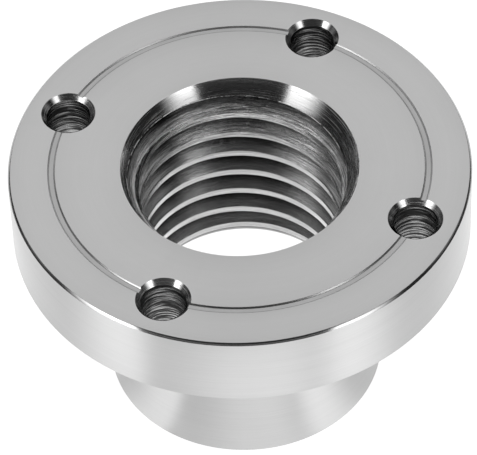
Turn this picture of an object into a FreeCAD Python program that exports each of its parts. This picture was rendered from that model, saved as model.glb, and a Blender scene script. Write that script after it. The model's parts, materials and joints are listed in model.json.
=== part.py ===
"""Lathe faceplate with a 1 inch by 8 spindle thread, turned from one piece of steel.

Sizes are in millimetres and degrees. The part turns about Z. The hub's end face, which seats
on the spindle, is z = 0, and the face that carries the work looks along +Z.
"""
import FreeCAD, Part
import math
import os

# Flange and hub, 2 inches across and 31 mm across
flange_diameter = 50.8
flange_thickness = 9.1
hub_diameter = 31.0
hub_length = 21.7
rim_chamfer = 0.26

# Spindle thread, 1 inch and 8 to the inch, right-handed, with the allowances of a class 2B fit
thread_diameter = 25.4
thread_pitch = 3.175
thread_angle = 60.0
pitch_diameter_allowance = 0.16
minor_diameter_allowance = 0.34
thread_start_azimuth = 36.0

# Chamfers at the two ends of the thread, both cut with the same 60 degree tool
mouth_clearance = 0.8
chamfer_included_angle = 60.0
lead_width = 0.5

# Plain stretch under the thread, and the recess that centres on the spindle's register
plain_land_height = 0.9
register_clearance = 0.6
register_depth = 6.8
register_edge_chamfer = 0.25

# Screw holes for the work, and the shallow ring groove that marks their circle
screw_hole_count = 4
screw_circle_inset = 4.75
screw_hole_diameter = 4.9
countersink_diameter = 6.0
countersink_angle = 90.0
groove_width = 0.83
groove_floor_width = 0.55
groove_depth = 0.16

# The bore and its thread are made in the same equal sectors, so that no face is a whole turn
sectors_per_turn = 5
overcut = 1.0

# Worked out from the sizes above
AXIS = FreeCAD.Vector(0, 0, 1)
ORIGIN = FreeCAD.Vector(0, 0, 0)
overall_length = hub_length + flange_thickness
flange_radius = flange_diameter / 2
hub_radius = hub_diameter / 2
chamfer_slope = math.tan(math.radians(chamfer_included_angle / 2))
flank_slope = math.tan(math.radians(thread_angle / 2))
sharp_thread_height = thread_pitch / (2 * flank_slope)
pitch_radius = (thread_diameter - 0.75 * sharp_thread_height + pitch_diameter_allowance) / 2
minor_radius = (thread_diameter - 1.25 * sharp_thread_height + minor_diameter_allowance) / 2
root_radius = pitch_radius + 0.375 * sharp_thread_height
sector_angle = 360.0 / sectors_per_turn
sector_rise = thread_pitch / sectors_per_turn
mouth_radius = (thread_diameter + mouth_clearance) / 2
register_radius = (thread_diameter + register_clearance) / 2
screw_circle_radius = flange_radius - screw_circle_inset
lead_top = register_depth + lead_width / chamfer_slope
thread_end_height = lead_top + plain_land_height


def at(radius, height):
    """A point of a turned profile."""
    return FreeCAD.Vector(radius, 0, height)


def outline(points):
    """A closed wire of straight edges through radius and height pairs."""
    corners = [at(radius, height) for radius, height in points]
    return Part.makePolygon(corners + corners[:1])


def turn(wire, angle=360.0):
    """Turn a closed profile about the axis."""
    return Part.Face(wire).revolve(ORIGIN, AXIS, angle)


def blank():
    """The solid steel blank: the hub, and the flange with its chamfered front edge."""
    front = overall_length
    return turn(outline([
        (0, 0),
        (hub_radius, 0),
        (hub_radius, hub_length),
        (flange_radius, hub_length),
        (flange_radius, front - rim_chamfer),
        (flange_radius - rim_chamfer, front),
        (0, front),
    ]))


def bore():
    """The bore before threading: register recess, lead chamfer, wall and wide mouth.

    Its sectors start where the thread does, so that their edges meet the thread's.
    """
    edge = register_edge_chamfer
    profile = outline([
        (0, -overcut),
        (register_radius + edge + overcut, -overcut),
        (register_radius, edge),
        (register_radius, register_depth),
        (minor_radius + lead_width, register_depth),
        (minor_radius, lead_top),
        (minor_radius, overall_length - (mouth_radius - minor_radius) / chamfer_slope),
        (mouth_radius + overcut * chamfer_slope, overall_length + overcut),
        (0, overall_length + overcut),
    ])
    sector = turn(profile, sector_angle)
    sectors = []
    for index in range(sectors_per_turn):
        copy = sector.copy()
        copy.rotate(ORIGIN, AXIS, thread_start_azimuth + index * sector_angle)
        sectors.append(copy)
    return sectors[0].fuse(sectors[1:])


def groove_half_width(radius):
    """Half the thread groove's width along the axis, at a distance from the axis."""
    return thread_pitch / 4 - (radius - pitch_radius) * flank_slope


def helix_span(radius, height, index):
    """One sector's stretch of a helix of the thread's pitch, counted up from the first."""
    edge = Part.makeHelix(thread_pitch, sector_rise, radius).Edges[0]
    edge.rotate(ORIGIN, AXIS, index * sector_angle)
    edge.translate(AXIS * (height + index * sector_rise))
    return edge


def helical_groove(turns):
    """The thread groove as a solid, with a trapezoid section and helicoid flanks."""
    inner_radius = minor_radius - overcut / 2
    inner_half = groove_half_width(inner_radius)
    root_half = groove_half_width(root_radius)
    section = [
        (inner_radius, -inner_half),
        (root_radius, -root_half),
        (root_radius, root_half),
        (inner_radius, inner_half),
    ]
    lower_end = Part.Face(outline(section))
    upper_end = lower_end.copy()
    upper_end.translate(AXIS * turns * thread_pitch)
    faces = [lower_end, upper_end]
    for index in range(turns * sectors_per_turn):
        spans = [helix_span(radius, height, index) for radius, height in section]
        for first, second in zip(spans, spans[1:] + spans[:1]):
            faces.append(Part.makeRuledSurface(first, second))
    shell = Part.makeShell(faces)
    shell.sewShape()
    return Part.makeSolid(shell)


def thread_groove():
    """The groove in its place, which runs in from past the front face and dies out below.

    The tool slows to a stop at the lower end, so the last turn's lower flank is a cone
    instead of a helix.
    """
    turns_below = math.ceil((overall_length - thread_end_height) / thread_pitch) + 1
    groove = helical_groove(turns_below + 1)
    groove.rotate(ORIGIN, AXIS, thread_start_azimuth)
    groove.translate(AXIS * (overall_length - turns_below * thread_pitch))
    outer = root_radius + overcut
    above_run_out = turn(outline([
        (0, thread_end_height - minor_radius * flank_slope),
        (outer, thread_end_height + (outer - minor_radius) * flank_slope),
        (outer, overall_length + 2 * thread_pitch),
        (0, overall_length + 2 * thread_pitch),
    ]))
    return groove.common(above_run_out)


def ring_groove():
    """The shallow ring groove in the front face, on the screws' circle."""
    middle = screw_circle_radius
    front = overall_length
    wall_slope = (groove_width - groove_floor_width) / 2 / groove_depth
    return turn(outline([
        (middle - groove_floor_width / 2, front - groove_depth),
        (middle + groove_floor_width / 2, front - groove_depth),
        (middle + groove_width / 2 + overcut * wall_slope, front + overcut),
        (middle - groove_width / 2 - overcut * wall_slope, front + overcut),
    ]))


def screw_holes():
    """The holes through the flange, each countersunk in the front face."""
    hole_radius = screw_hole_diameter / 2
    mouth = countersink_diameter / 2
    slope = math.tan(math.radians(countersink_angle / 2))
    sink_depth = (mouth - hole_radius) / slope
    tool = turn(outline([
        (0, hub_length - overcut),
        (hole_radius, hub_length - overcut),
        (hole_radius, overall_length - sink_depth),
        (mouth + overcut * slope, overall_length + overcut),
        (0, overall_length + overcut),
    ]))
    tool.translate(FreeCAD.Vector(screw_circle_radius, 0, 0))
    tools = []
    for index in range(screw_hole_count):
        copy = tool.copy()
        copy.rotate(ORIGIN, AXIS, index * 360.0 / screw_hole_count)
        tools.append(copy)
    return tools


def faceplate():
    """The finished faceplate as one solid."""
    turned = blank().cut(bore()).cut(ring_groove())
    drilled = turned.cut(screw_holes())
    return drilled.cut(thread_groove())


os.makedirs("parts", exist_ok=True)
plate = faceplate()
plate.Solids[0].exportStep("parts/faceplate.step")
print("solids", len(plate.Solids), "valid", plate.isValid(), "volume", round(plate.Volume, 1), "mm3")
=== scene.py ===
"""A small steel faceplate for a wood lathe, seen from above on a white table.

Lengths are in metres and angles in degrees. The part turns about Z and stands on z = 0.
"""
import json
import math
import bpy
from mathutils import Matrix, Vector


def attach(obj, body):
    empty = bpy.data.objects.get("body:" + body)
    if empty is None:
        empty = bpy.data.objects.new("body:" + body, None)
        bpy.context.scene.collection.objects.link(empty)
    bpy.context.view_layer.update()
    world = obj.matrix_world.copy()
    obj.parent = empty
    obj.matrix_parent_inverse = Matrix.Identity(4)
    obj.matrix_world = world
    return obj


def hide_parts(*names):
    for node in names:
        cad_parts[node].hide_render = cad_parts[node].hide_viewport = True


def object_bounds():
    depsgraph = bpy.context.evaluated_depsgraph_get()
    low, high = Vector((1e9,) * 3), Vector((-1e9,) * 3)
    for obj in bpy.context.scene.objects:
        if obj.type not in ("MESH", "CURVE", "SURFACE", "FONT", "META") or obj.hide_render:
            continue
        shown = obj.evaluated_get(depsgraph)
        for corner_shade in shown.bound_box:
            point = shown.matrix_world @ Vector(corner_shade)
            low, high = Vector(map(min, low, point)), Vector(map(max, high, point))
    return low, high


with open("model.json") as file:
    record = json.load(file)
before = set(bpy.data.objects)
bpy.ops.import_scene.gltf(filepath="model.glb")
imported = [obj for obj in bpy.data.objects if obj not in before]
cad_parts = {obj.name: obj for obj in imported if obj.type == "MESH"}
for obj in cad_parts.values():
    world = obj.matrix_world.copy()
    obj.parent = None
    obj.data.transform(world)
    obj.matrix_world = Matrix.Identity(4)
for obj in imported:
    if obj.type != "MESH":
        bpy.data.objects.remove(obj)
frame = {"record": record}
cad_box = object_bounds()
mounts = {mount["name"]: mount for mount in frame["record"]["mounts"]}

MM = 0.001

# Sizes that the frame gives
flange_radius = cad_box[1].x
overall_length = mounts["work_face"]["pos_m"][2]
thread_crest_radius = mounts["spindle_thread"]["dims"]["r_mm"] * MM
register_radius = mounts["spindle_register"]["dims"]["r_mm"] * MM
screw_circle_radius = mounts["screw_circle"]["dims"]["pcd_mm"] / 2 * MM
screw_hole_radius = mounts["screw_circle"]["dims"]["hole_r_mm"] * MM
screw_hole_count = mounts["screw_circle"]["dims"]["count"]

# Flange and hub
hub_radius = 15.5 * MM
hub_length = 21.7 * MM
hub_root_radius = 0.4 * MM
rim_chamfer = 0.26 * MM
edge_break = 0.05 * MM
fine_edge_break = 0.02 * MM

# Thread, 8 to the inch
thread_pitch = 3.175 * MM
thread_root_radius = 12.78 * MM
thread_pitch_radius = 11.749 * MM
thread_angle = 60
flank_slope = math.tan(math.radians(thread_angle / 2))
thread_start_azimuth = 36
thread_end_height = 8.566 * MM
thread_land_height = 7.666 * MM
crest_edge_radius = 0.22 * MM
root_corner_radius = 0.18 * MM

# Bore
mouth_radius = 13.1 * MM
chamfer_included_angle = 60
chamfer_slope = math.tan(math.radians(chamfer_included_angle / 2))
lead_width = 0.5 * MM
register_depth = 6.8 * MM
register_edge_chamfer = 0.25 * MM

# Ring groove and countersinks
groove_width = 0.83 * MM
groove_floor_width = 0.55 * MM
groove_depth = 0.16 * MM
countersink_radius = 3.0 * MM

# Fineness of the round shapes
TURN_SEGMENTS = 288
HOLE_SEGMENTS = 96
FILLET_STEPS = 6
CREST_STEPS = 4
ROOT_STEPS = 3
EDGE_STEPS = 2

# The least angle at which an edge is broken, and the most that is shaded smooth
BROKEN_ANGLE = 25
SMOOTH_ANGLE = 22

# How far a tool reaches past the part, and how near two points are when they are one
OVERCUT = 1.0 * MM
RING_MERGE = 0.001 * MM
FINAL_MERGE = 0.0005 * MM
SAME_POINT = 0.00001 * MM

# Camera, with azimuths counted from the direction in which it looks
VIEW_AZIMUTH = 24.8
VIEW_ELEVATION = 48.98
VIEW_ROLL = -2.12
VIEW_DISTANCE = 444.4 * MM
VIEW_SHIFT_RIGHT = 0.13 * MM
VIEW_SHIFT_UP = 6.83 * MM
LENS = 306.8
SENSOR_WIDTH = 36.0

# The table's width in metres
TABLE_WIDTH = 12

# How much light bare steel gives back, and the bump's height
STEEL = 0.64
RELIEF_HEIGHT = 0.01 * MM

# How a face lies, by the upright part of its normal, and how near is on a surface
LEVEL = 0.9
SLOPING = 0.5
NEAR = 0.02 * MM


# Modelling

def deselect_all():
    """Leave edit mode with nothing selected."""
    if bpy.context.object and bpy.context.object.mode == "EDIT":
        bpy.ops.object.mode_set(mode="OBJECT")
    bpy.ops.object.select_all(action="DESELECT")


def make_active(piece):
    """Select one object alone."""
    deselect_all()
    piece.select_set(True)
    bpy.context.view_layer.objects.active = piece


def extrude_to(ring, radius, height):
    """Extrude the selected ring of edges to a new radius and height, and return that place."""
    rise = (0, 0, height - ring[1])
    bpy.ops.mesh.extrude_region_move(TRANSFORM_OT_translate={"value": rise})
    scale = radius / ring[0]
    bpy.ops.transform.resize(value=(scale, scale, 1))
    return radius, height


def turned(name, profile, segments=TURN_SEGMENTS):
    """A solid ring of the given radius and height pairs, extruded edge by edge from a circle."""
    deselect_all()
    radius, height = profile[0]
    bpy.ops.mesh.primitive_circle_add(vertices=segments, radius=radius, location=(0, 0, height))
    piece = bpy.context.object
    piece.name = name
    bpy.ops.object.transform_apply(location=True, rotation=False, scale=False)
    bpy.ops.object.mode_set(mode="EDIT")
    bpy.ops.mesh.select_all(action="SELECT")
    ring = profile[0]
    for radius, height in profile[1:]:
        ring = extrude_to(ring, radius, height)
    return piece


def close_ring(piece, profile):
    """Join the last ring of edges to the first, and turn the faces outwards."""
    extrude_to(profile[-1], *profile[0])
    bpy.ops.mesh.select_all(action="SELECT")
    bpy.ops.mesh.remove_doubles(threshold=RING_MERGE)
    bpy.ops.mesh.normals_make_consistent(inside=False)
    bpy.ops.object.mode_set(mode="OBJECT")
    return piece


def cap_ends(piece):
    """Fill the open ring at each end, and turn the faces outwards."""
    bpy.ops.mesh.select_all(action="DESELECT")
    bpy.ops.mesh.select_mode(type="EDGE")
    bpy.ops.mesh.select_non_manifold()
    bpy.ops.mesh.fill_holes(sides=0)
    bpy.ops.mesh.select_all(action="SELECT")
    bpy.ops.mesh.normals_make_consistent(inside=False)
    bpy.ops.object.mode_set(mode="OBJECT")
    return piece


def apply_modifier(piece, kind, **settings):
    """Add a modifier with these settings and apply it."""
    make_active(piece)
    modifier = piece.modifiers.new(kind.lower(), kind)
    for key, value in settings.items():
        setattr(modifier, key, value)
    bpy.ops.object.modifier_apply(modifier=modifier.name)


def cut(piece, tool, operation="DIFFERENCE"):
    """Cut a piece with a tool, which is used up."""
    apply_modifier(piece, "BOOLEAN", object=tool, operation=operation, solver="EXACT")
    bpy.data.objects.remove(tool)


def corner_arc(centre, radius, first_angle, last_angle, count):
    """Radius and height pairs along an arc in the turned profile, in this many steps."""
    pairs = []
    for step in range(count + 1):
        angle = math.radians(first_angle + (last_angle - first_angle) * step / count)
        pairs.append((centre[0] + radius * math.cos(angle), centre[1] + radius * math.sin(angle)))
    return pairs


def blank():
    """The bored blank as one closed ring, with the ring groove in its front face."""
    front = overall_length
    wall_top = front - (mouth_radius - thread_crest_radius) / chamfer_slope
    lead_top = register_depth + lead_width / chamfer_slope
    root = (hub_radius + hub_root_radius, hub_length - hub_root_radius)
    half_groove = groove_width / 2
    half_floor = groove_floor_width / 2
    profile = [
        (hub_radius, edge_break),
        (hub_radius, root[1]),
        *corner_arc(root, hub_root_radius, 180, 90, FILLET_STEPS)[1:],
        (flange_radius - edge_break, hub_length),
        (flange_radius, hub_length + edge_break),
        (flange_radius, front - rim_chamfer),
        (flange_radius - rim_chamfer, front),
        (screw_circle_radius + half_groove, front),
        (screw_circle_radius + half_floor, front - groove_depth),
        (screw_circle_radius - half_floor, front - groove_depth),
        (screw_circle_radius - half_groove, front),
        (mouth_radius, front),
        (thread_crest_radius, wall_top),
        (thread_crest_radius, lead_top),
        (thread_crest_radius + lead_width, register_depth),
        (register_radius, register_depth),
        (register_radius, register_edge_chamfer),
        (register_radius + register_edge_chamfer, 0),
        (hub_radius - edge_break, 0),
    ]
    piece = turned("turned_faceplate", profile)
    close_ring(piece, profile)
    apply_modifier(
        piece, "BEVEL", width=fine_edge_break, segments=EDGE_STEPS, limit_method="ANGLE",
        angle_limit=math.radians(BROKEN_ANGLE), harden_normals=False,
    )
    return piece


def groove_half_width(radius):
    """Half the thread groove's width along the axis, at a distance from the axis."""
    return thread_pitch / 4 - (radius - thread_pitch_radius) * flank_slope


def crest_round(edge_height):
    """The rounding between a crest and the flank that falls away outwards from this height."""
    tangent = crest_edge_radius * flank_slope
    centre = (thread_crest_radius + crest_edge_radius, edge_height + tangent)
    return corner_arc(centre, crest_edge_radius, 180, 240, CREST_STEPS)


def groove_section():
    """The thread groove's outline as radius and height pairs, wide side towards the axis."""
    root_half = groove_half_width(thread_root_radius)
    root_height = root_half - root_corner_radius * flank_slope
    root_centre = (thread_root_radius - root_corner_radius, root_height)
    upper = crest_round(groove_half_width(thread_crest_radius))
    upper += corner_arc(root_centre, root_corner_radius, 60, 0, ROOT_STEPS)
    upper.insert(0, (thread_crest_radius - OVERCUT / 2, upper[0][1]))
    return upper + [(radius, -height) for radius, height in reversed(upper)]


def drawn(name, points):
    """A closed outline in the XZ plane, drawn point by point."""
    deselect_all()
    bpy.ops.mesh.primitive_plane_add(size=MM, location=(points[0][0], 0, points[0][1]))
    piece = bpy.context.object
    piece.name = name
    bpy.ops.object.transform_apply(location=True, rotation=False, scale=False)
    bpy.ops.object.mode_set(mode="EDIT")
    bpy.ops.mesh.select_all(action="SELECT")
    bpy.ops.mesh.merge(type="CENTER")
    for first, second in zip(points, points[1:]):
        step = (second[0] - first[0], 0, second[1] - first[1])
        bpy.ops.mesh.extrude_region_move(TRANSFORM_OT_translate={"value": step})
    bpy.ops.object.mode_set(mode="OBJECT")
    ends = [Vector(points[0]), Vector(points[-1])]
    for vertex in piece.data.vertices:
        vertex.select = min((vertex.co.xz - end).length for end in ends) < SAME_POINT
    bpy.ops.object.mode_set(mode="EDIT")
    bpy.ops.mesh.edge_face_add()
    bpy.ops.object.mode_set(mode="OBJECT")
    return piece


def thread_tool():
    """The thread groove as a solid: its section drawn round the axis by a screw, cut off below."""
    turns_below = math.ceil((overall_length - thread_end_height) / thread_pitch) + 1
    tool = drawn("thread_tool", groove_section())
    apply_modifier(
        tool, "SCREW", axis="Z", angle=2 * math.pi, screw_offset=thread_pitch,
        iterations=turns_below + 1, steps=TURN_SEGMENTS, render_steps=TURN_SEGMENTS,
    )
    tool.rotation_euler.z = math.radians(thread_start_azimuth)
    tool.location.z = overall_length - turns_below * thread_pitch
    make_active(tool)
    bpy.ops.object.transform_apply(location=True, rotation=True, scale=False)
    bpy.ops.object.mode_set(mode="EDIT")
    cap_ends(tool)
    cut(tool, run_out_tool(), "INTERSECT")
    return tool


def run_out_tool():
    """All that lies above the cone on which the last turn of the thread ends."""
    outer = thread_root_radius + OVERCUT
    inner = thread_crest_radius - OVERCUT
    top = overall_length + 3 * thread_pitch
    rounding = crest_round(thread_end_height)
    edge = [(radius, 2 * thread_end_height - height) for radius, height in rounding]
    profile = [
        (inner, edge[0][1]),
        *edge,
        (outer, thread_end_height + (outer - thread_crest_radius) * flank_slope),
        (outer, top),
        (inner, top),
    ]
    return close_ring(turned("run_out", profile), profile)


def on_screw_circle(azimuth):
    """The middle of a screw hole."""
    angle = math.radians(azimuth)
    return Vector((math.cos(angle), math.sin(angle))) * screw_circle_radius


def screw_hole_tool(azimuth):
    """A drill with its countersink, in place over one of the holes."""
    front = overall_length
    sink_depth = countersink_radius - screw_hole_radius
    profile = [
        (screw_hole_radius, hub_length - OVERCUT),
        (screw_hole_radius, front - sink_depth),
        (countersink_radius + OVERCUT, front + OVERCUT),
    ]
    tool = cap_ends(turned("drill", profile, HOLE_SEGMENTS))
    tool.location = (*on_screw_circle(azimuth), 0)
    make_active(tool)
    bpy.ops.object.transform_apply(location=True, rotation=False, scale=False)
    return tool


def faceplate():
    """The finished faceplate as one mesh."""
    piece = blank()
    cut(piece, thread_tool())
    for index in range(screw_hole_count):
        cut(piece, screw_hole_tool(index * 360 / screw_hole_count))
    make_active(piece)
    bpy.ops.object.mode_set(mode="EDIT")
    bpy.ops.mesh.select_all(action="SELECT")
    bpy.ops.mesh.remove_doubles(threshold=FINAL_MERGE)
    bpy.ops.object.mode_set(mode="OBJECT")
    bpy.ops.object.shade_smooth_by_angle(angle=math.radians(SMOOTH_ANGLE))
    return piece


# Materials

class Wire:
    """A value in a node tree. An expression on wires adds the Math nodes that work it out."""

    def __init__(self, tree, socket):
        self.tree = tree
        self.socket = socket

    def math(self, operation, *values):
        """A Math node that has this wire as its first value."""
        return add_node(self.tree, "ShaderNodeMath", {"operation": operation}, (self, *values))

    def __add__(self, other):
        return self.math("ADD", other)

    def __mul__(self, other):
        return self.math("MULTIPLY", other)

    def __sub__(self, other):
        return self.math("SUBTRACT", other)

    def __rsub__(self, other):
        return self.math("MULTIPLY", -1) + other

    def __truediv__(self, other):
        return self.math("DIVIDE", other)

    __radd__ = __add__


def add_node(tree, kind, settings=None, inputs=(), output=0):
    """A node of this kind: its settings first, then the values or wires of its sockets."""
    node = tree.nodes.new(kind)
    for key, value in (settings or {}).items():
        setattr(node, key, value)
    pairs = inputs.items() if isinstance(inputs, dict) else enumerate(inputs)
    for key, value in pairs:
        if isinstance(value, Wire):
            tree.links.new(value.socket, node.inputs[key])
        else:
            node.inputs[key].default_value = value
    return Wire(tree, node.outputs[output]) if node.outputs else None


def steps(wire, low, high):
    """0 below low, 1 above high, and a smooth rise between them."""
    inputs = {"Value": wire, "From Min": low, "From Max": high}
    return add_node(wire.tree, "ShaderNodeMapRange", {"interpolation_type": "SMOOTHSTEP"}, inputs)


def band(wire, start, full, fade, end):
    """A smooth rise from start to full, and a smooth fall from fade to end."""
    return steps(wire, start, full) * (1 - steps(wire, fade, end))


def close_to_zero(wire, near, far):
    """1 where a wire is less than near from zero, and 0 from far on."""
    return 1 - steps(wire.math("ABSOLUTE"), near, far)


def vector_math(tree, operation, inputs, output=0):
    """A Vector Math node."""
    return add_node(tree, "ShaderNodeVectorMath", {"operation": operation}, inputs, output)


def surface_noise(tree, vector, scale, detail=3.0, roughness=0.55):
    """Noise over a surface, between 0 and 1."""
    inputs = {"Vector": vector, "Scale": scale, "Detail": detail, "Roughness": roughness}
    return add_node(tree, "ShaderNodeTexNoise", {"noise_dimensions": "3D"}, inputs)


def tool_marks(tree, place, spacing, reach, detail=3.0, roughness=0.6):
    """Fine marks that run round the axis.

    place is a wire of the distance across the marks, spacing is how far apart they are, and
    reach is the angle in radians after which a mark fades.
    """
    around = vector_math(tree, "NORMALIZE", (flat(tree, own_position(tree)),))
    around = vector_math(tree, "SCALE", {"Vector": around, "Scale": 1 / reach})
    across = add_node(tree, "ShaderNodeCombineXYZ", {}, (0.0, 0.0, place / spacing))
    spot = vector_math(tree, "ADD", (around, across))
    return surface_noise(tree, spot, 1.0, detail, roughness)


def turning_lines(tree, place):
    """The fine lines of turning, and the broader and longer ones among them."""
    fine = tool_marks(tree, place, spacing=0.09 * MM, reach=0.5)
    broad = tool_marks(tree, place, spacing=0.5 * MM, reach=1.2, detail=2.0)
    return fine, broad


def flat(tree, position):
    """A place moved down to the level of the origin."""
    return vector_math(tree, "MULTIPLY", (position, (1, 1, 0)))


def grey(tree, value):
    """A grey colour of this brightness."""
    return add_node(tree, "ShaderNodeCombineColor", {}, (value, value, value))


def own_position(tree):
    """The place on the object, in its own frame."""
    return add_node(tree, "ShaderNodeTexCoord", output="Object")


def part_coordinates(tree):
    """The place on the part: the position, the distance from the axis and the height."""
    position = own_position(tree)
    radius = vector_math(tree, "LENGTH", (flat(tree, position),), "Value")
    height = add_node(tree, "ShaderNodeSeparateXYZ", {}, (position,), "Z")
    return position, radius, height


def new_material(name):
    """A material with an empty node tree."""
    material = bpy.data.materials.new(name)
    material.use_nodes = True
    material.node_tree.nodes.clear()
    return material, material.node_tree


def finish_metal(tree, colour, roughness, bump, anisotropy):
    """Bare steel with the given colour, roughness and surface relief."""
    normal = add_node(tree, "ShaderNodeBump", {}, {"Height": bump, "Distance": RELIEF_HEIGHT})
    metal = add_node(tree, "ShaderNodeBsdfPrincipled", {}, {
        "Base Color": grey(tree, colour),
        "Roughness": roughness,
        "Metallic": 1.0,
        "Anisotropic": anisotropy,
        "Anisotropic Rotation": 0.25,
        "Normal": normal,
    })
    add_node(tree, "ShaderNodeOutputMaterial", {}, (metal,))


def turned_steel(name, across, roughness, anisotropy, lines=1.0, scratches=0.0, tone=STEEL):
    """Turned steel, whose fine lines lie along the turning and change across it.

    across is "radius" on a faced surface and "height" on a side. lines is the contrast of the
    lines, and scratches is how much rougher the few deeper ones are.
    """
    material, tree = new_material(name)
    position, radius, height = part_coordinates(tree)
    fine, broad = turning_lines(tree, radius if across == "radius" else height)
    patches = surface_noise(tree, position, scale=110) - 0.5
    scratched = steps(fine, 0.56, 0.66) * steps(broad, 0.4, 0.55)
    colour = tone + (fine - 0.5) * (0.10 * lines) + (broad - 0.5) * (0.05 * lines) + patches * 0.09
    rough = roughness + (fine - 0.5) * (0.08 * lines) + patches * 0.06 + scratched * scratches
    finish_metal(tree, colour, rough, (fine + broad) * (0.1 + scratches), anisotropy)
    return material


def grooved_steel(name, roughness, tone):
    """The ring groove, cut with a pointed tool, with painted shade along the corners of its floor."""
    material, tree = new_material(name)
    position, radius, height = part_coordinates(tree)
    marks = tool_marks(tree, radius, spacing=0.07 * MM, reach=0.4) - 0.5
    patches = surface_noise(tree, position, scale=300) - 0.5
    off_middle = (radius - screw_circle_radius).math("ABSOLUTE")
    half_floor = groove_floor_width / 2
    # Painted shade: the colour is darkened along the corners of the floor.
    corner_shade = band(off_middle, half_floor - 0.08 * MM, half_floor, half_floor, half_floor + 0.03 * MM)
    colour = (tone + marks * 0.2 + patches * 0.1) * (1 - corner_shade * 0.5)
    finish_metal(tree, colour, roughness + marks * 0.1, marks * 0.4, anisotropy=0.3)
    return material


def thread_edge(tree, position, radius, height):
    """How near a place is to an edge of the thread groove: 1 on the edge, in a ragged line."""
    x, y = [add_node(tree, "ShaderNodeSeparateXYZ", {}, (position,), axis) for axis in "XY"]
    turns = y.math("ARCTAN2", x) / (2 * math.pi) - thread_start_azimuth / 360
    off_centre = ((height - overall_length) / thread_pitch - turns).math("PINGPONG", 0.5) * thread_pitch
    ragged = steps(surface_noise(tree, position, scale=700, detail=4.0, roughness=0.7), 0.42, 0.58)
    return close_to_zero(off_centre - groove_half_width(radius), 0.03 * MM, 0.13 * MM) * ragged


def mouth_steel():
    """The wide chamfer of the mouth, scratched, and burred where the thread breaks through it.

    A painted highlight brightens the burred edge.
    """
    material, tree = new_material("mouth_steel")
    position, radius, height = part_coordinates(tree)
    fine, broad = turning_lines(tree, height)
    scratched = steps(fine, 0.56, 0.66) * steps(broad, 0.38, 0.5)
    burr_and_highlight = thread_edge(tree, position, radius, height)
    # Painted highlight: the colour is brightened along the burred edge, which is also rougher and
    # raised.
    colour = STEEL + (fine - 0.5) * 0.2 + (broad - 0.5) * 0.1 + burr_and_highlight * 0.3
    rough = 0.17 + (fine - 0.5) * 0.15 + scratched * 0.4 + burr_and_highlight * 0.3
    finish_metal(tree, colour, rough, (fine + broad) * 0.5 + burr_and_highlight * 5, anisotropy=0.7)
    return material


def threaded_steel():
    """The thread, cut with a tool that drags and tears, most of all near the mouth.

    The roots carry painted shade, and so does the lower edge of the plain land under the thread.
    A torn, feathered lip of steel stands along the edge that the thread shares with the mouth,
    brightened by a painted highlight.
    """
    material, tree = new_material("threaded_steel")
    position, radius, height = part_coordinates(tree)
    across = height + radius * 1.7
    tears = tool_marks(tree, across, spacing=0.4 * MM, reach=0.3, detail=4.0, roughness=0.7)
    fine = tool_marks(tree, across, spacing=0.16 * MM, reach=0.7)
    patches = surface_noise(tree, position, scale=500)
    # Painted shade darkens the lower edge of the land and the roots of the thread.
    land_edge_shade = 1 - steps(height, thread_land_height, thread_land_height + 0.2 * MM)
    root_shade = steps(radius, thread_crest_radius + 0.15 * MM, thread_root_radius - 0.1 * MM)
    entry = steps(height, overall_length - 12 * MM, overall_length - 3 * MM)
    below_mouth = (overall_length - height) * chamfer_slope + radius - mouth_radius
    # Painted highlight: the colour is brightened along the torn lip under the mouth, which is also
    # rougher.
    feather_and_highlight = close_to_zero(below_mouth, 0.0, 0.16 * MM) * (0.3 + steps(patches, 0.4, 0.6) * 0.7)
    streaks = (steps(tears, 0.38, 0.62) - 0.5) * (0.1 + entry * 0.4)
    streaks = streaks + (steps(fine, 0.35, 0.65) - 0.5) * (0.08 + entry * 0.4)
    marks_and_root_shade = (STEEL - 0.04 + streaks) * (1 - root_shade * (0.9 - entry * 0.1))
    colour = marks_and_root_shade * (1 - land_edge_shade * 0.85) + feather_and_highlight * 0.5
    rough = 0.18 + (tears - 0.5) * 0.35 + entry * 0.04 + feather_and_highlight * 0.4
    relief = tears * (4 + entry * 7) + fine * (1 + entry * 4) - feather_and_highlight * 3
    finish_metal(tree, colour, rough, relief, anisotropy=0.92)
    return material


def drilled_steel():
    """A drilled wall, with rough rings left by the drill's lips.

    Painted shade keeps the wall nearly black, and the rings stand out brighter.
    """
    material, tree = new_material("drilled_steel")
    rings_per_metre = (260, 260, 4200)
    stretched = vector_math(tree, "MULTIPLY", (own_position(tree), rings_per_metre))
    rings = surface_noise(tree, stretched, scale=1.0)
    bright = steps(rings, 0.47, 0.6)
    # Painted shade: the wall is nearly black, and only the rings come up towards a steel colour.
    colour = 0.04 + bright * 0.44
    rough = 0.32 - bright * 0.1
    finish_metal(tree, colour, rough, rings * 9.0, anisotropy=0.0)
    return material


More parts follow.
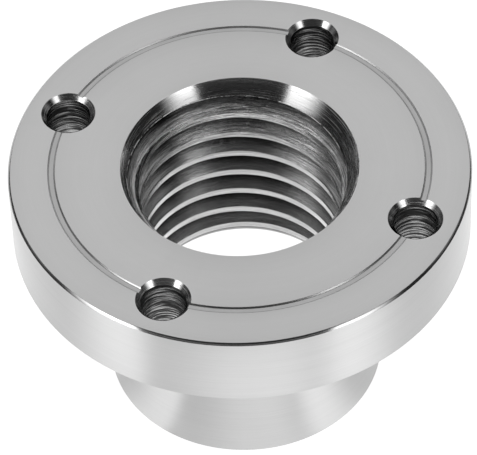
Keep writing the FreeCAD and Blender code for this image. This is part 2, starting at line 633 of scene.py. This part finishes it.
def dress(piece):
    """Give each kind of surface its own finish."""
    finishes = {
        "faced": turned_steel("faced_steel", "radius", roughness=0.46, anisotropy=0.4, lines=0.4),
        "side": turned_steel("turned_steel", "height", roughness=0.34, anisotropy=0.8),
        "edge": turned_steel("edge_steel", "height", roughness=0.15, anisotropy=0.6, lines=0.6),
        "countersunk": turned_steel(
            "countersunk_steel", "height", roughness=0.18, anisotropy=0.7, lines=1.5, scratches=0.4,
        ),
        # bored_steel's tone is brighter than steel, a painted highlight on the walls under the thread.
        "bored": turned_steel(
            "bored_steel", "height", roughness=0.18, anisotropy=0.7, lines=0.6, tone=0.85,
        ),
        # The groove floor's tone is darker than steel, a painted shade.
        "grooved": grooved_steel("grooved_steel", roughness=0.4, tone=0.47),
        "mouth": mouth_steel(),
        "shoulder": grooved_steel("shoulder_steel", roughness=0.27, tone=0.6),
        # The outer groove wall's tone is brighter than steel, a painted highlight.
        "groove_wall": grooved_steel("groove_wall_steel", roughness=0.36, tone=0.85),
        "threaded": threaded_steel(),
        "drilled": drilled_steel(),
    }
    order = list(finishes)
    for material in finishes.values():
        piece.data.materials.append(material)
    holes = [on_screw_circle(index * 360 / screw_hole_count) for index in range(screw_hole_count)]
    for face in piece.data.polygons:
        face.material_index = order.index(surface_kind(face, holes))


def surface_kind(face, holes):
    """Which finish a face has, by its place and the way it looks."""
    spot = face.center.xy
    radius = spot.length
    height = face.center.z
    hole_distance = min((spot - hole).length for hole in holes)
    looks_up = abs(face.normal.z)
    sloping = SLOPING < looks_up < LEVEL
    if hole_distance < screw_hole_radius + NEAR and looks_up < LEVEL:
        return "drilled"
    if hole_distance < countersink_radius + NEAR and sloping:
        return "countersunk"
    if radius > flange_radius - rim_chamfer and sloping:
        return "edge"
    in_ring = abs(radius - screw_circle_radius) < groove_width / 2
    if in_ring and height > overall_length - groove_depth * 1.1:
        if looks_up > LEVEL:
            return "grooved"
        return "shoulder" if radius < screw_circle_radius else "groove_wall"
    if radius > mouth_radius + 0.05 * MM or height < 0.1 * MM:
        return "faced" if looks_up > SLOPING else "side"
    off_mouth = abs(radius - (mouth_radius + (height - overall_length) * chamfer_slope))
    if off_mouth < 0.05 * MM and face.normal.z > 0.3:
        return "mouth"
    if height < register_depth + 0.1 * MM:
        return "bored"
    return "threaded"


# Table, light and camera

def camera_turn():
    """The turn about Z that brings the camera's level directions into the part's frame."""
    return Matrix.Rotation(math.radians(VIEW_AZIMUTH), 3, "Z")


def room_axes(tree, vector):
    """How far a vector reaches to the camera's right, and level towards the camera."""
    axes = [camera_turn() @ Vector((1, 0, 0)), camera_turn() @ Vector((0, -1, 0))]
    return [vector_math(tree, "DOT_PRODUCT", (vector, axis), "Value") for axis in axes]


def table_shine(tree, position):
    """How bright the table shows in the steel.

    The painted light of the two soft boxes brightens a stretch of it each, left and right in front
    of the part, and the part's painted shade darkens it near the hub and under the bore, where a
    painted pool of light under the far wall brightens it again. around is the direction from the
    part in radians, from 0 towards the camera up to the right and down to the left.
    """
    right, toward_camera = room_axes(tree, position)
    distance = vector_math(tree, "LENGTH", (position,), "Value")
    around = right.math("ARCTAN2", toward_camera)
    # Painted light and shade: the soft boxes' stretches, brighter stretches towards the camera and at
    # the back, and the part's shade close to it.
    outside = steps(distance, 24 * MM, 42 * MM)
    left_box = band(around, -1.3, -0.82, -0.73, -0.58) * (0.52 - outside * 0.14)
    right_box = band(around, 0.4, 0.63, 0.7, 1.05) * (0.5 - outside * 0.19)
    middle = close_to_zero(around - 0.02, 0.0, 0.6)
    right_middle = band(around, 0.0, 0.3, 0.9, 1.2)
    turned_away = around.math("ABSOLUTE")
    back = steps(turned_away, 1.25, 2.2) * (1 - steps(turned_away, 2.2, 2.8) * 0.7)
    shine = 1.05 + left_box + right_box + middle * 0.4 + right_middle * 0.14 + back * 0.4
    shine = shine * (0.85 + outside * 0.18)
    far_off = steps(distance, 80 * MM, 120 * MM)
    shine = shine * (1 - far_off) + far_off * 0.85
    # Painted light and shade under the bore: a little brighter behind the middle, darker further back,
    # and brightest under the far wall.
    nearer = 1 - steps(toward_camera, -2 * MM, 6 * MM)
    dimmer = 1 - steps(toward_camera, -6.5 * MM, -3.8 * MM)
    light_under_far_wall = 1 - steps(toward_camera, -7.6 * MM, -6.6 * MM)
    bore_shine = 0.97 + nearer * 0.18 - dimmer * 0.54 + light_under_far_wall * 0.8
    under_bore = 1 - steps(distance, register_radius, register_radius + 2 * MM)
    return shine * (1 - under_bore) + under_bore * bore_shine


def white_table():
    """A glossy white table, which keeps the part's soft shadow.

    The camera sees it white, and the steel shows it with table_shine's painted light and shade.
    """
    deselect_all()
    bpy.ops.mesh.primitive_plane_add(size=TABLE_WIDTH)
    table = bpy.context.object
    table.name = "table"
    material, tree = new_material("white_table")
    shine = table_shine(tree, own_position(tree))
    camera_ray = add_node(tree, "ShaderNodeLightPath", output="Is Camera Ray")
    glossy_ray = add_node(tree, "ShaderNodeLightPath", output="Is Glossy Ray")
    paper = add_node(tree, "ShaderNodeBsdfDiffuse", {}, {"Color": (0.8, 0.8, 0.8, 1)})
    seen = add_node(tree, "ShaderNodeEmission", {}, {"Color": (1, 1, 1, 1), "Strength": 1.6})
    # Painted reflection: the grey of table_shine, which glossy rays see on the table.
    shown = add_node(tree, "ShaderNodeEmission", {}, {"Color": grey(tree, shine), "Strength": 1.0})
    gloss = add_node(tree, "ShaderNodeBsdfAnisotropic", {}, {"Color": (1, 1, 1, 1), "Roughness": 0.12})
    table_top = add_node(tree, "ShaderNodeMixShader", {}, (camera_ray * 0.6, paper, seen))
    mirrored = add_node(tree, "ShaderNodeMixShader", {}, (0.1, shown, gloss))
    both = add_node(tree, "ShaderNodeMixShader", {}, (glossy_ray, table_top, mirrored))
    add_node(tree, "ShaderNodeOutputMaterial", {}, (both,))
    table.data.materials.append(material)


def studio_world():
    """A dark room with a tall soft box each side of the camera, and white walls at the back.

    Between the boxes hangs a small grey card. Each box begins at an edge that leans outwards,
    and right_edge and left_edge are how far a direction lies past it. The camera itself sees
    white all round.
    """
    world = bpy.data.worlds.new("studio")
    bpy.context.scene.world = world
    world.use_nodes = True
    tree = world.node_tree
    tree.nodes.clear()
    direction = add_node(tree, "ShaderNodeTexCoord", output="Generated")
    right, toward_camera = room_axes(tree, direction)
    up = add_node(tree, "ShaderNodeSeparateXYZ", {}, (direction,), "Z")
    in_front = steps(toward_camera, -0.05, 0.1)
    height = (0.45 + steps(up, 0.25, 0.5) * 0.55) * (1 - steps(up, 0.6, 0.74) * 0.97)
    right_edge = right - toward_camera * 0.594 - up * 0.231
    left_edge = right * -1 - toward_camera * 0.811 - up * 0.327
    right_box = steps(right_edge, 0.0, 0.04) * (1 - steps(right_edge + up * 0.35, 0.35, 0.75))
    left_box = steps(left_edge, 0.0, 0.04) * (1 - steps(left_edge + up * 0.35, 0.43, 0.88))
    boxes = (right_box * 2.4 + left_box * 3.0) * height * in_front
    beside = steps(right.math("ABSOLUTE"), 0.3, 0.6)
    walls = (1 - steps(toward_camera, -0.3, 0.1)) * steps(up, 0.2, 0.5) * (1 - beside * 0.6)
    card = band(up, 0.48, 0.56, 0.56, 0.64) * steps(toward_camera, 0.2, 0.5)
    ceiling = steps(up, 0.85, 0.93)
    strength = 0.02 + ceiling * 0.08 + walls * 0.93 + card * 0.25 + boxes
    camera_ray = add_node(tree, "ShaderNodeLightPath", output="Is Camera Ray")
    strength = strength * (1 - camera_ray) + camera_ray
    glow = add_node(tree, "ShaderNodeBackground", {}, {"Color": grey(tree, strength), "Strength": 1.0})
    add_node(tree, "ShaderNodeOutputWorld", {}, (glow,))


def place_camera():
    """The camera at the photograph's viewing angle."""
    elevation = math.radians(VIEW_ELEVATION)
    roll = math.radians(VIEW_ROLL)
    turn = camera_turn()
    forward = turn @ Vector((0, math.cos(elevation), -math.sin(elevation)))
    level = turn @ Vector((1, 0, 0))
    upward = turn @ Vector((0, math.sin(elevation), math.cos(elevation)))
    right = level * math.cos(roll) + upward * math.sin(roll)
    up = upward * math.cos(roll) - level * math.sin(roll)
    data = bpy.data.cameras.new("camera")
    data.lens = LENS
    data.sensor_width = SENSOR_WIDTH
    data.clip_start = 0.01
    data.clip_end = 20
    camera = bpy.data.objects.new("camera", data)
    target = Vector((0, 0, overall_length))
    place = target - forward * VIEW_DISTANCE - right * VIEW_SHIFT_RIGHT - up * VIEW_SHIFT_UP
    camera.matrix_world = Matrix.Translation(place) @ Matrix((right, up, -forward)).transposed().to_4x4()
    bpy.context.collection.objects.link(camera)
    bpy.context.scene.camera = camera


plate = faceplate()
dress(plate)
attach(plate, "root")
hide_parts("faceplate")
white_table()
studio_world()
place_camera()
bpy.context.scene.view_settings.view_transform = "Standard"
